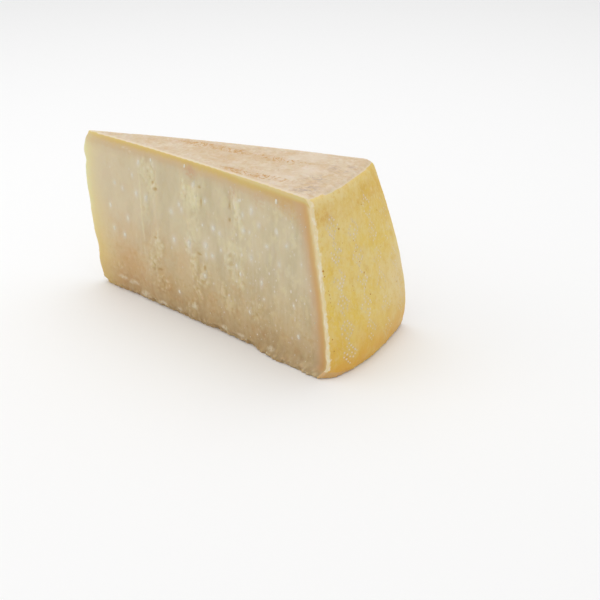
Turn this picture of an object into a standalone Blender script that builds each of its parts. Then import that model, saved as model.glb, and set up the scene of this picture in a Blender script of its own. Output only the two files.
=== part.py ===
"""A wedge of aged hard cheese, cut from the upper half of a drum-shaped wheel.

The wedge stands on the split that halved the wheel. Its top is the wheel's flat side, its heel is the
wheel's bulging rind, and its two tall sides are cuts that meet at the tip, near the wheel's centre.
The paste is one piece with its rind, so the wedge is one solid.

Plan: the tip is at x = 0, y = 0 and the heel lies towards +X. The front cut faces -Y. Everything is in
metres. When the shape is done it is moved so that the middle of its base box is the origin.
"""

import math

import bmesh
import bpy
from mathutils import Vector, noise
from mathutils.geometry import delaunay_2d_cdt

MM = 0.001

# The slice of the wheel
HEIGHT = 114 * MM
WEDGE_ANGLE = math.radians(23.4)
HALF_ANGLE = WEDGE_ANGLE / 2
TOP_CROWN = 1.3 * MM  # the flat side rises this much halfway along the wedge

# The heel bulges low down, and further out at the back cut than at the front one
FRONT_RIM_RADIUS = 194.5 * MM
BACK_RIM_RADIUS = 196.5 * MM
FRONT_BULGE_RADIUS = 209.5 * MM
FRONT_BULGE_HEIGHT = 8 * MM
BACK_BULGE_RADIUS = 222 * MM
BACK_BULGE_HEIGHT = 21 * MM
BULGE_POWER = 1.5
FRONT_FOOT_DROP = 1.0 * MM
BACK_FOOT_DROP = 2.5 * MM

# How far the broken tip reaches past the plan's tip, and its blunt radius: (height, size) in mm.
# The reach is measured along a line turned REACH_TURN from the wedge's middle line.
TIP_REACH = (
    (0, 0.0), (4, 1.8), (16, 3.6), (26, 3.0), (42, 5.0), (60, 5.8),
    (76, 7.0), (88, 6.9), (93, 5.4), (100, 6.7), (107, 5.2), (114, 2.0),
)
TIP_BLUNT = ((0, 3.0), (20, 4.4), (60, 5.0), (98, 4.6), (107, 2.8), (114, 1.0))
REACH_TURN = math.radians(28.7)

# Rounded edges
RIM_ROUND = 4.5 * MM
CUT_EDGE_ROUND = 1.2 * MM
TIP_SHARE = 0.12  # share of a cut's length over which its rounded top edge runs out into the tip
CORNER_CUT_BACK = 1.2 * MM
CORNER_HEEL_BACK = 2.4 * MM

# Crags on the front cut, where the knife split the paste instead of cutting it:
# distance from the tip, lowest and highest point, width, groove depth, lip height, slant to the heel
FRONT_CRAGS = (
    (56, 44, 105, 7, 1.7, 1.0, 0.10),
    (99, 76, 106, 8, 1.9, 1.3, 0.06),
    (91, 38, 82, 7, 1.0, 0.9, 0.02),
    (131, 78, 101, 5, 1.9, 1.4, 0.02),
    (136, 40, 80, 6, 0.9, 0.8, -0.05),
    (123, 3, 36, 8, 1.2, 0.9, -0.22),
    (168, 62, 92, 4, 0.8, 0.5, 0.03),
)
BACK_CRAGS = (
    (38, 20, 84, 6, 1.4, 0.9, 0.08),
    (74, 52, 106, 8, 1.8, 1.2, -0.06),
    (108, 8, 58, 7, 1.3, 0.9, 0.12),
    (142, 46, 100, 7, 1.8, 1.2, 0.04),
    (171, 14, 62, 6, 1.1, 0.8, -0.08),
)

# Grain of the paste: broad waves, thumb-sized flakes and crumbs
WAVE_SIZE = 46 * MM
WAVE_DEPTH = 0.9 * MM
FLAKE_SIZE = 17 * MM
FLAKE_DEPTH = 0.75 * MM
CRUMB_SIZE = 7.5 * MM
CRUMB_DEPTH = 0.55 * MM

# Crumbled edge along the base
CHIP_HEIGHT = 4.5 * MM
CHIP_DEPTH = 2.6 * MM
CHIP_SIZE = 8 * MM
RIND_CHIP_SHARE = 0.25  # the rind's foot is tougher, and chips this much less
FOOT_FLARE = 1.6 * MM  # the cut's foot splays out this much near the heel
FLARE_START = 140 * MM
FLARE_END = 175 * MM
FLARE_HEIGHT = 9 * MM

# Strips of a cut in which the knife ran smooth, along the heel and at the tip
SMOOTH_HEEL_STRIP = 18 * MM
SMOOTH_TIP_STRIP = 14 * MM
SMOOTH_TOP_STRIP = 7 * MM

# Rind: slow dents, left by the mould and the shelves
DENT_SIZE = 34 * MM
RIND_DENT = 0.45 * MM
TOP_DENT = 0.5 * MM

# How finely the surface is cut into faces
NOSE_STEPS = 8
FACE_STEPS = 54
HEEL_STEPS = 22
CAP_STEP = 5.4 * MM
CAP_MARGIN = 3.4 * MM
ROW_STEP = 4.1 * MM
BASE_ROWS = (0, 0.9 * MM, 2.2 * MM, 4.2 * MM, 7 * MM)
RIM_ROWS = (4.5 * MM, 2.4 * MM, 1.2 * MM, 0.4 * MM, 0)

# Separate corners of the noise field, so that no two faces share a pattern
FRONT_SEED = Vector((3.1, 0.0, 7.7))
BACK_SEED = Vector((41.3, 5.0, 2.9))
NOSE_SEED = Vector((11.0, 23.0, 5.0))
RIND_SEED = Vector((17.9, 31.0, 13.3))

PASTE_COLOUR = (0.72, 0.58, 0.33, 1.0)
PASTE_ROUGHNESS = 0.62


def remove_all_objects():
    for obj in list(bpy.data.objects):
        bpy.data.objects.remove(obj)


def mix(a, b, share):
    return a + (b - a) * share


def ease(share):
    """0 to 1 with a level start and end."""
    share = min(1.0, max(0.0, share))
    return share * share * (3 - 2 * share)


def along_profile(points, z):
    """The value at height z of a profile given as (height, value) pairs in millimetres."""
    height = z / MM
    for (low, start), (high, end) in zip(points, points[1:]):
        if height <= high:
            return mix(start, end, ease((height - low) / (high - low))) * MM
    return points[-1][1] * MM


def heel_radius(share, z):
    """Distance from the tip to the rind. Share is 0 at the front cut and 1 at the back cut."""
    widest = mix(FRONT_BULGE_RADIUS, BACK_BULGE_RADIUS, share)
    widest_at = mix(FRONT_BULGE_HEIGHT, BACK_BULGE_HEIGHT, share)
    if z >= widest_at:
        rise = (z - widest_at) / (HEIGHT - widest_at)
        rim = mix(FRONT_RIM_RADIUS, BACK_RIM_RADIUS, share)
        radius = widest - (widest - rim) * rise**BULGE_POWER
    else:
        fall = (widest_at - z) / widest_at
        radius = widest - mix(FRONT_FOOT_DROP, BACK_FOOT_DROP, share) * fall**2
    return radius - rounding(RIM_ROUND, HEIGHT - z)


def rounding(radius, below_top):
    """How far an edge of this radius pulls the wall in, this far below the top."""
    if below_top >= radius:
        return 0.0
    rest = (radius - below_top) / radius
    return radius * (1 - math.sqrt(max(0.0, 1 - rest * rest)))


def tangent_point(centre, radius, target, side):
    """Where a line from target touches the circle, on the side -1 (front) or +1 (back)."""
    away = target - centre
    turn = side * math.acos(radius / away.length)
    return centre + Vector(
        (
            math.cos(turn) * away.x - math.sin(turn) * away.y,
            math.sin(turn) * away.x + math.cos(turn) * away.y,
        )
    ) * (radius / away.length)


def outline(z):
    """The wall's section at height z, anticlockwise from the tip along the front cut.

    Each entry is (place, outward direction, face name), before any relief.
    """
    blunt = along_profile(TIP_BLUNT, z)
    reach = along_profile(TIP_REACH, z)
    nose = Vector(((blunt - reach) / math.cos(REACH_TURN), 0))
    pull = rounding(CUT_EDGE_ROUND, HEIGHT - z)
    ends = []
    for side in (-1, 1):
        radius = heel_radius((side + 1) / 2, z) - CORNER_CUT_BACK
        turn = side * HALF_ANGLE
        end = Vector((math.cos(turn), math.sin(turn))) * radius
        ends.append((tangent_point(nose, blunt, end, side), end))
    (front_start, front_end), (back_start, back_end) = ends
    points = []
    front_out = (front_end - front_start).orthogonal().normalized()
    front_out = front_out if front_out.y < 0 else -front_out
    back_out = (back_end - back_start).orthogonal().normalized()
    back_out = back_out if back_out.y > 0 else -back_out
    for step in range(FACE_STEPS + 1):
        share = step / FACE_STEPS
        place = front_start.lerp(front_end, share)
        points.append((place - front_out * pull * ease(share / TIP_SHARE), front_out, "front"))
    for step in range(HEEL_STEPS + 1):
        share = step / HEEL_STEPS
        radius = heel_radius(share, z)
        margin = CORNER_HEEL_BACK / radius
        turn = mix(-HALF_ANGLE + margin, HALF_ANGLE - margin, share)
        out = Vector((math.cos(turn), math.sin(turn)))
        points.append((out * radius, out, "heel"))
    for step in range(FACE_STEPS + 1):
        share = 1 - step / FACE_STEPS
        place = back_start.lerp(back_end, share)
        points.append((place - back_out * pull * ease(share / TIP_SHARE), back_out, "back"))
    first = math.atan2(back_out.y, back_out.x)
    last = math.atan2(front_out.y, front_out.x) + 2 * math.pi
    for step in range(1, NOSE_STEPS):
        turn = mix(first, last, step / NOSE_STEPS)
        out = Vector((math.cos(turn), math.sin(turn)))
        points.append((nose + out * blunt, out, "nose"))
    return points


def grain(place, seed):
    """Height of the broken paste's surface: waves, flakes and crumbs, rougher low down."""
    low = 1 - place.z / HEIGHT
    wave = noise.noise(place / WAVE_SIZE + seed)
    stretched = Vector((place.x, place.y, place.z * 0.62))
    flake = noise.noise(stretched / FLAKE_SIZE + seed * 2)
    nearest = noise.voronoi(place / CRUMB_SIZE + seed * 3)[0]
    crumb = nearest[1] - nearest[0] - 0.3
    return (
        wave * WAVE_DEPTH
        + flake * FLAKE_DEPTH * mix(0.7, 1.3, low)
        + crumb * CRUMB_DEPTH * mix(0.45, 1.2, ease(low * 1.4))
    )


def crag_height(crags, along, z, seed):
    """Grooves with a raised lip on their heel side, ragged along their length."""
    total = 0.0
    up = z / MM
    for from_tip, lowest, highest, width, depth, lip, slant in crags:
        if not lowest - 8 < up < highest + 8:
            continue
        wander = 2.6 * noise.noise(Vector((from_tip, up / 9, 0)) + seed)
        wander += 1.3 * noise.noise(Vector((from_tip, up / 3.7, 5)) + seed)
        middle = from_tip + slant * (up - lowest) + wander
        across = (along / MM - middle) / width
        share = ease((up - lowest + 8) / 16) * ease((highest + 8 - up) / 16)
        ragged = 0.8 + 0.9 * noise.noise(Vector((across, up / 5, from_tip)) + seed)
        groove = -depth * math.exp(-((across * 1.9) ** 2))
        ridge = lip * math.exp(-(((across - 1.0) * 1.5) ** 2))
        total += (groove + ridge) * share * ragged * MM
    return total


def chip_depth(place, seed):
    """How far the crumbled base edge is pulled in, in metres."""
    share = ease(1 - place.z / CHIP_HEIGHT)
    if share == 0:
        return 0.0
    bite = noise.noise(Vector((place.x, place.y, 0)) / CHIP_SIZE + seed)
    small = noise.noise(Vector((place.x, place.y, 0)) / (CHIP_SIZE * 0.4) + seed * 2)
    return share * CHIP_DEPTH * (0.28 + max(0.0, bite * 0.9 + small * 0.5))


def relief(place, face):
    """How far a wall point moves outwards, in metres."""
    if face == "heel":
        dent = noise.noise(place / DENT_SIZE + RIND_SEED)
        return dent * RIND_DENT - chip_depth(place, RIND_SEED) * RIND_CHIP_SHARE
    seed, crags = {
        "front": (FRONT_SEED, FRONT_CRAGS),
        "back": (BACK_SEED, BACK_CRAGS),
        "nose": (NOSE_SEED, ()),
    }[face]
    along = math.hypot(place.x, place.y)
    to_heel = heel_radius(0 if face == "front" else 1, place.z) - along
    off_heel = ease(to_heel / SMOOTH_HEEL_STRIP)
    off_tip = ease(along / SMOOTH_TIP_STRIP)
    off_top = ease((HEIGHT - place.z) / SMOOTH_TOP_STRIP)
    calm = mix(0.3, 1.0, off_top) * mix(0.35, 1.0, off_heel) * mix(0.35, 1.0, off_tip)
    crags_here = crag_height(crags, along, place.z, seed) * off_top * off_heel
    flare = ease((along - FLARE_START) / (FLARE_END - FLARE_START)) * ease(1 - place.z / FLARE_HEIGHT)
    return grain(place, seed) * calm + crags_here + flare * FOOT_FLARE - chip_depth(place, seed)


def row_heights():
    """Heights of the wall's rows: close together at the base and at the rim."""
    low, high = BASE_ROWS[-1], HEIGHT - RIM_ROWS[0]
    count = round((high - low) / ROW_STEP)
    middle = [mix(low, high, step / count) for step in range(1, count)]
    return [*BASE_ROWS, *middle, *(HEIGHT - drop for drop in RIM_ROWS)]


def crown(x, y):
    """How far the flat side rises above its level at the rim's two ends."""
    share = min(1.0, math.hypot(x, y) / FRONT_RIM_RADIUS)
    return TOP_CROWN * 4 * share * (1 - share)


def wall_rows(mesh):
    """Rows of mesh vertices round the wall, from the base to the rim."""
    rows = []
    for z in row_heights():
        row = []
        for place, out, face in outline(z):
            moved = place + out * relief(Vector((place.x, place.y, z)), face)
            lift = crown(moved.x, moved.y) * (z / HEIGHT) ** 4
            row.append(mesh.verts.new((moved.x, moved.y, z + lift)))
        rows.append(row)
    return rows


def inside(x, y, ring, margin):
    """Whether the point lies in the closed ring of vertices, at least this far from its edge."""
    crossings = False
    for a, b in zip(ring, ring[1:] + ring[:1]):
        a, b = a.co, b.co
        if (a.y > y) != (b.y > y) and x < (b.x - a.x) * (y - a.y) / (b.y - a.y) + a.x:
            crossings = not crossings
        edge = Vector((b.x - a.x, b.y - a.y))
        share = min(1, max(0, ((x - a.x) * edge.x + (y - a.y) * edge.y) / max(edge.length_squared, 1e-12)))
        if math.hypot(x - a.x - edge.x * share, y - a.y - edge.y * share) < margin:
            return False
    return crossings


def cap(mesh, ring, height_at, faces_up):
    """Closes a ring with triangles over a lattice of points, whose heights height_at gives."""
    lows = [min(v.co[axis] for v in ring) for axis in (0, 1)]
    highs = [max(v.co[axis] for v in ring) for axis in (0, 1)]
    lattice = []
    line_step = CAP_STEP * math.sqrt(3) / 2
    for line in range(int((highs[1] - lows[1]) / line_step) + 1):
        y = lows[1] + line * line_step
        for step in range(int((highs[0] - lows[0]) / CAP_STEP) + 2):
            x = lows[0] + (step + 0.5 * (line % 2)) * CAP_STEP
            if inside(x, y, ring, CAP_MARGIN):
                lattice.append(mesh.verts.new((x, y, height_at(x, y))))
    verts = [*ring, *lattice]
    flat = [Vector((v.co.x, v.co.y)) for v in verts]
    rim = list(range(len(ring)))
    edges = list(zip(rim, rim[1:] + rim[:1]))
    made = delaunay_2d_cdt(flat, edges, [], 1, 1e-7)
    source = [origins[0] for origins in made[3]]
    for triangle in made[2]:
        corners = [verts[source[index]] for index in triangle]
        a, b, c = (v.co for v in corners)
        points_up = (b.x - a.x) * (c.y - a.y) - (b.y - a.y) * (c.x - a.x) > 0
        mesh.faces.new(corners if points_up == faces_up else corners[::-1])


def top_height(x, y):
    """The flat side has slow dents and a fine ripple from the cloth of its mould."""
    slow = noise.noise(Vector((x, y, 0)) / DENT_SIZE + RIND_SEED)
    fine = noise.noise(Vector((x, y, 0)) / (DENT_SIZE * 0.35) + RIND_SEED * 2)
    return HEIGHT + crown(x, y) + TOP_DENT * (slow * 0.7 + fine * 0.4 - 0.25)


def base_height(x, y):
    """The base rests flat."""
    return 0.0


def build_wedge():
    mesh = bmesh.new()
    rows = wall_rows(mesh)
    for lower, upper in zip(rows, rows[1:]):
        ring = list(range(len(lower)))
        for here, after in zip(ring, ring[1:] + ring[:1]):
            mesh.faces.new((lower[here], lower[after], upper[after], upper[here]))
    cap(mesh, rows[-1], top_height, faces_up=True)
    cap(mesh, rows[0], base_height, faces_up=False)
    bmesh.ops.triangulate(mesh, faces=[f for f in mesh.faces if len(f.verts) > 3])
    lows = [min(v.co[axis] for v in mesh.verts) for axis in (0, 1)]
    highs = [max(v.co[axis] for v in mesh.verts) for axis in (0, 1)]
    middle = Vector(((lows[0] + highs[0]) / 2, (lows[1] + highs[1]) / 2, 0))
    bmesh.ops.translate(mesh, verts=mesh.verts, vec=-middle)
    data = bpy.data.meshes.new("cheese_wedge")
    mesh.to_mesh(data)
    mesh.free()
    return data


def paste_material():
    material = bpy.data.materials.new("hard_cheese")
    material.use_nodes = True
    shader = material.node_tree.nodes["Principled BSDF"]
    shader.inputs["Base Color"].default_value = PASTE_COLOUR
    shader.inputs["Roughness"].default_value = PASTE_ROUGHNESS
    shader.inputs["Metallic"].default_value = 0.0
    return material


def main():
    remove_all_objects()
    data = build_wedge()
    data.materials.append(paste_material())
    wedge = bpy.data.objects.new("cheese_wedge", data)
    bpy.context.scene.collection.objects.link(wedge)
    data.shade_smooth()
    data.set_sharp_from_angle(angle=math.radians(40))


main()
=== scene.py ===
"""The looks of a wedge of aged hard cheese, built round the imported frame.

The frame gives the solid. Here it gets its fine surface and its finish, and then what sits on it: milk
crystals, crumbs, the mould's pin marks and dark specks in the rind. Lengths are in metres unless a name
ends in _MM, and colours are named on the eye's own 0 to 255 scale.
"""

import math

import bmesh
import bpy
import numpy as np
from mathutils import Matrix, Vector, noise
from mathutils.bvhtree import BVHTree


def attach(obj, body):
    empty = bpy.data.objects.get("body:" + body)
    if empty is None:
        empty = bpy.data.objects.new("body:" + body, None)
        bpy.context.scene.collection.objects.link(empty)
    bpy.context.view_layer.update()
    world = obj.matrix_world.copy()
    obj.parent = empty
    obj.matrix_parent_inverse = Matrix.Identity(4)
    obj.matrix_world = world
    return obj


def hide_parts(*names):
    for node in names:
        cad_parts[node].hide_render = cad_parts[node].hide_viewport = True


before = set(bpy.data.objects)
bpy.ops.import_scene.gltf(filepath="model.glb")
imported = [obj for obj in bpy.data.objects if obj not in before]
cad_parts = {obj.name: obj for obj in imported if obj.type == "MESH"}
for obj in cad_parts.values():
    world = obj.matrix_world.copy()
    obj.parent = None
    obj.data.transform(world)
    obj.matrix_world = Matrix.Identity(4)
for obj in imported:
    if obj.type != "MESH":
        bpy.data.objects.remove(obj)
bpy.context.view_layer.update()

# The view: a camera a little above the wedge, in front of the heel's end, looking down at the front cut.
# It has no tilt and no shift.
CAMERA_PLACE = (0.3187, -0.4802, 0.315)
CAMERA_TURN = math.radians(28.7)
CAMERA_DOWN = math.radians(28)
CAMERA_LENS = 57.0
CAMERA_SENSOR = 36
CAMERA_NEAREST = 0.01

scene = bpy.context.scene
camera = bpy.data.objects.new("camera", bpy.data.cameras.new("camera"))
camera.location = CAMERA_PLACE
camera.rotation_euler = (math.pi / 2 - CAMERA_DOWN, 0, CAMERA_TURN)
camera.data.lens = CAMERA_LENS
camera.data.sensor_width = CAMERA_SENSOR
camera.data.clip_start = CAMERA_NEAREST
scene.collection.objects.link(camera)
scene.camera = camera
scene.view_settings.view_transform = "Standard"

# Studio light: a white room, one broad soft box overhead and a weaker one on the tip's side.
# The floor is a pale sheet of paper, so that light also comes up from below.
ROOM_STRENGTH = 0.78
FLOOR_SIZE = 6.0
FLOOR_DROP = 0.0002
FLOOR_PAINT = (0.93, 0.93, 0.93, 1)
FLOOR_ROUGHNESS = 0.9
# Name, place, size and power of each, all turned to the wedge
SOFT_BOXES = (
    ("overhead", (-0.10, 0.20, 1.30), 1.4, 5.5),
    ("tip_side", (-0.90, -0.60, 0.90), 0.8, 1.5),
)

room = bpy.data.worlds.new("room")
room.use_nodes = True
room.node_tree.nodes["Background"].inputs["Color"].default_value = (1, 1, 1, 1)
room.node_tree.nodes["Background"].inputs["Strength"].default_value = ROOM_STRENGTH
scene.world = room

for name, place, size, power in SOFT_BOXES:
    lamp = bpy.data.lights.new(name, "AREA")
    lamp.size = size
    lamp.energy = power
    holder = bpy.data.objects.new(name, lamp)
    holder.location = place
    holder.rotation_euler = (-Vector(place)).to_track_quat("-Z", "Y").to_euler()
    scene.collection.objects.link(holder)

paper = bpy.data.meshes.new("floor")
half = FLOOR_SIZE / 2
corners = [(x, y, -FLOOR_DROP) for x, y in ((-half, -half), (half, -half), (half, half), (-half, half))]
paper.from_pydata(corners, [], [(0, 1, 2, 3)])
paint = bpy.data.materials.new("floor_paper")
paint.use_nodes = True
paint.node_tree.nodes["Principled BSDF"].inputs["Base Color"].default_value = FLOOR_PAINT
paint.node_tree.nodes["Principled BSDF"].inputs["Roughness"].default_value = FLOOR_ROUGHNESS
paper.materials.append(paint)
floor = bpy.data.objects.new("floor", paper)
scene.collection.objects.link(floor)

# The wedge: one block of aged cheese, split off the wheel with a blunt almond knife. The paste doesn't
# cut clean, so each split side has flakes, torn patches, pits and a crumbled foot. The solid's mesh is
# made even and smooth first, and then this finer grain is pressed into it.
MM = 0.001
TIP = Vector((-0.1054, -0.0012))  # where the two cuts' planes meet, seen from above
CUT_TURN = math.radians(11.7)  # how far each cut is turned from the wedge's middle line
HEEL_STARTS = 0.185
FINE_STEP = 0.98 * MM
SMOOTH_ROUNDS = 9
EDGE_KEEP_MM = 2.2  # edges closer than this are smoothed less

# Torn patches of a cut: from the tip, height, half width, half height, rise, how torn, how pale
FRONT_PATCHES = (
    (46.5, 72, 0.8, 36, 0.30, 0.2, 0.7),
    (52, 98, 4, 9, 0.35, 0.8, 0.6),
    (58, 93, 5, 11, 0.25, 1.0, 0.7),
    (52, 70, 3, 9, 0.15, 0.4, 0.5),
    (60, 45, 4, 9, 0.30, 1.0, 0.7),
    (56, 33, 5, 7, 0.25, 1.0, 0.5),
    (62, 18, 8, 7, 0.20, 0.8, 0.3),
    (98, 92, 7, 9, 0.65, 0.15, 1.0),
    (95, 85, 5, 5, 0.50, 0.2, 0.9),
    (89, 92, 2, 9, 0.20, 1.0, 0.9),
    (98, 68, 6, 11, 0.45, 0.25, 0.6),
    (91, 56, 3, 7, 0.20, 0.8, 0.6),
    (95, 42, 4, 8, 0.25, 1.0, 0.7),
    (104, 37, 5, 7, 0.30, 1.0, 0.6),
    (98, 22, 5, 6, 0.25, 0.8, 0.4),
    (92, 9, 5, 5, 0.30, 0.7, 0.6),
    (136, 95, 2.6, 11, 0.50, 0.5, 1.0),
    (139, 82, 2.0, 8, 0.40, 0.7, 0.9),
    (132, 64, 9, 6, 0.30, 0.6, 0.7),
    (135, 48, 7, 10, 0.25, 0.8, 0.6),
    (127, 54, 4, 6, 0.25, 0.9, 0.5),
    (122, 32, 2.6, 7, 0.50, 0.4, 0.7),
    (127, 24, 3.2, 8, 0.55, 0.3, 0.9),
    (168, 97, 1.5, 9, 0.25, 0.5, 0.5),
    (150, 28, 6, 8, 0.20, 0.7, 0.4),
    (20, 16, 9, 4, 0.15, 0.6, 0.2),
)
BACK_PATCHES = (
    (34, 74, 1.0, 30, 0.30, 0.2, 0.7),
    (41, 66, 5, 12, 0.30, 0.9, 0.7),
    (38, 48, 4, 8, 0.25, 1.0, 0.6),
    (77, 86, 7, 11, 0.80, 0.2, 0.9),
    (72, 74, 4, 7, 0.50, 0.4, 0.8),
    (83, 54, 4, 9, 0.30, 0.9, 0.6),
    (110, 36, 6, 8, 0.35, 0.8, 0.6),
    (116, 26, 5, 7, 0.30, 0.9, 0.5),
    (146, 80, 5, 12, 0.70, 0.3, 0.9),
    (149, 64, 4, 9, 0.45, 0.5, 0.8),
    (151, 44, 6, 7, 0.30, 1.0, 0.6),
    (173, 26, 5, 9, 0.25, 0.7, 0.6),
    (62, 12, 7, 5, 0.25, 0.8, 0.5),
)
# Pits and crevices, darker ochre in part from the paste's own spots and in part painted shade: from the
# tip, height, half width, half height, depth
FRONT_PITS = (
    (62, 87, 1.7, 1.2, 0.45),
    (60, 91, 0.9, 1.3, 0.30),
    (104, 99, 1.0, 0.9, 0.45),
    (130, 93, 0.7, 3.0, 0.45),
    (129.5, 84, 0.8, 1.2, 0.50),
    (61, 28, 2.2, 0.9, 0.30),
    (58, 51, 1.6, 0.8, 0.25),
    (105, 43, 1.2, 1.6, 0.30),
    (105, 90, 0.6, 4.5, 0.30),
    (101, 52, 2.0, 0.8, 0.25),
)
BACK_PITS = (
    (46, 74, 1.4, 1.9, 0.45),
    (83, 96, 1.0, 2.6, 0.40),
    (105, 40, 1.8, 1.1, 0.35),
    (152, 83, 0.9, 3.6, 0.45),
    (120, 22, 2.0, 0.9, 0.25),
)
# Warm, more translucent zones: from the tip, height, radius, share
FRONT_WARMTH = (
    (28, 24, 26, 1.0),
    (20, 8, 16, 0.9),
    (66, 22, 18, 0.5),
    (104, 24, 16, 0.3),
    (10, 56, 16, 0.4),
    (30, 48, 22, 0.45),
    (62, 50, 26, 0.35),
    (86, 42, 22, 0.4),
)
BACK_WARMTH = ((34, 18, 30, 0.9), (120, 20, 24, 0.5), (60, 70, 20, 0.3))
# Reddish haze under the flat side, listed the same way
FRONT_BLUSH = ((96, 106, 8, 1.0), (133, 102, 6, 0.6), (154, 103, 8, 0.4))
BACK_BLUSH = ((70, 105, 8, 0.8), (128, 104, 9, 0.6))
# White chips, partly split off: from the tip, height, half width, half height, rise
FRONT_CHIPS = (
    (34.5, 109.3, 3.0, 0.7, 0.25),
    (39.5, 107.6, 1.6, 0.7, 0.15),
    (61.5, 104.0, 1.3, 2.6, 0.20),
    (90.0, 95.0, 1.0, 5.0, 0.20),
    (134.3, 96.0, 0.8, 6.0, 0.20),
    (137.5, 87.0, 0.8, 4.0, 0.15),
    (21.0, 9.5, 4.5, 1.5, 0.35),
    (33.0, 9.0, 4.0, 1.8, 0.40),
    (44.0, 3.6, 4.5, 2.0, 0.50),
    (62.0, 2.6, 3.6, 1.6, 0.40),
    (94.0, 11.0, 2.8, 2.6, 0.30),
    (121.0, 4.5, 2.8, 2.0, 0.40),
    (136.0, 4.0, 3.4, 1.4, 0.35),
    (163.0, 5.0, 2.6, 1.8, 0.30),
    (78.0, 3.0, 2.6, 1.4, 0.35),
)
BACK_CHIPS = (
    (52.0, 107.5, 2.6, 0.8, 0.20),
    (79.0, 92.0, 1.0, 4.6, 0.20),
    (30.0, 6.0, 4.2, 1.8, 0.40),
    (66.0, 3.4, 3.6, 1.8, 0.40),
    (108.0, 4.6, 3.2, 2.0, 0.40),
    (149.0, 3.6, 3.0, 1.6, 0.35),
)

FOOT_MM = 4.0
RIND_BAND_MM = 4.6  # how deep the ochre band under the flat side reaches
RIND_BAND_THINS_MM = 0.8
FRONT_THIN_MM = 72  # from the tip, where that band is thinnest
BACK_THIN_MM = 60
THIN_REACH_MM = 30
BAND_RISES = ((20, 1.2), (60, 0.5), (110, 0.5), (150, -1.4))  # from the tip, and how far up it is moved
SIDES = ("cut", "heel", "top", "base")
HEEL_REACHES_MM = 1.0  # the rind's edges are a little worn, and its colour goes round them
SKIN_BLEND_ROUNDS = 5
CORNER_HAZE_MM = (13, 29)  # how far the deeper haze reaches from the corner under the heel's top
HEELWARD_MM = (95, 150)  # from the tip, between which the paste changes to what it is like by the heel
LOW_PART_MM = (8, 60)  # heights between which a cut gets less rough
# How far each kind of relief stands out of its side
FLAKES_MM = 0.26
LUMPS_MM = 0.62
TEARS_MM = 0.6
NOTCH_MM = 1.2
HEEL_WAVES_MM = 0.22
HEEL_GRAIN_MM = 0.07
TOP_WAVES_MM = 0.16
TOP_GRAIN_MM = 0.09
BASE_ROUGH_MM = 0.3
# Where each pattern of noise starts, so that no two are alike
NOISE_STEP = np.array((17.3, 5.1, 9.7))
NOISE_STARTS = {name: NOISE_STEP * place for place, name in enumerate("abcdefghijk", start=1)}


def smooth_step(low, high, value):
    share = np.clip((value - low) / (high - low), 0, 1)
    return share * share * (3 - 2 * share)


def field(points, size_mm, start, stretch=(1, 1, 1), octaves=3):
    """Smooth noise from about -1 to 1 at each point. A stretch over 1 draws it out along that axis."""
    scaled = points / (size_mm * MM) / np.array(stretch) + NOISE_STARTS[start]
    return np.array([noise.fractal(place, 0.8, 2.0, octaves) for place in scaled.tolist()])


def crumb_field(points, size_mm, start):
    """Rounded crumbs on an even ground, from about -0.1 to 0.7."""
    scaled = points / (size_mm * MM) + NOISE_STARTS[start]
    middles = np.array([noise.voronoi(place)[0][0] for place in scaled.tolist()])
    return np.maximum(0.6 - middles, 0) * 1.4 - 0.1


def ledges(values, steps):
    """Turns a smooth rise into a few flat ledges with short slopes between them."""
    scaled = values * steps
    return (np.floor(scaled) + smooth_step(0.3, 0.75, scaled - np.floor(scaled))) / steps


def welded_mesh(node):
    """A copy of a node's mesh, with its loose triangles joined."""
    shape = bmesh.new()
    shape.from_mesh(node.data)
    bmesh.ops.remove_doubles(shape, verts=shape.verts, dist=1e-6)
    mesh = bpy.data.meshes.new("joined")
    shape.to_mesh(mesh)
    shape.free()
    return mesh


def plain_mesh(piece):
    """Turns what a piece's modifiers make into its own mesh, and removes them."""
    graph = bpy.context.evaluated_depsgraph_get()
    made = bpy.data.meshes.new_from_object(piece.evaluated_get(graph))
    piece.modifiers.clear()
    piece.data = made


def side_of(face):
    """Which side of the wedge a face of the solid belongs to."""
    from_tip = face.center.xy - TIP
    if abs(face.normal.z) > 0.7:
        return "top" if face.normal.z > 0 else "base"
    if from_tip.length > HEEL_STARTS and face.normal.xy.dot(from_tip.normalized()) > 0.6:
        return "heel"
    return "front" if face.normal.y < 0 else "back"


def side_trees(mesh):
    """A search tree for each side of the solid."""
    places = [vertex.co.copy() for vertex in mesh.vertices]
    faces = {side: [] for side in ("top", "base", "heel", "front", "back")}
    for face in mesh.polygons:
        faces[side_of(face)].append(tuple(face.vertices))
    return {side: BVHTree.FromPolygons(places, found) for side, found in faces.items()}


def gaps_mm(tree, points):
    return np.array([tree.find_nearest(place)[3] for place in points.tolist()]) / MM


def spread(values, ends, rounds, share):
    """Evens out numbers or places over the edges. Share is how far a point follows its neighbours."""
    count = np.bincount(ends.ravel(), minlength=len(values)).astype(float)
    width = values.reshape(len(values), -1)
    for _ in range(rounds):
        total = np.zeros_like(width)
        for column in range(width.shape[1]):
            total[:, column] = np.bincount(ends[:, 0], width[ends[:, 1], column], len(values))
            total[:, column] += np.bincount(ends[:, 1], width[ends[:, 0], column], len(values))
        width = width + (total / count[:, None] - width) * np.reshape(share, (-1, 1))
    return width.reshape(values.shape)


def read_points(mesh):
    points = np.empty(len(mesh.vertices) * 3, np.float32)
    mesh.vertices.foreach_get("co", points)
    return points.reshape(-1, 3).astype(float)


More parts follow.
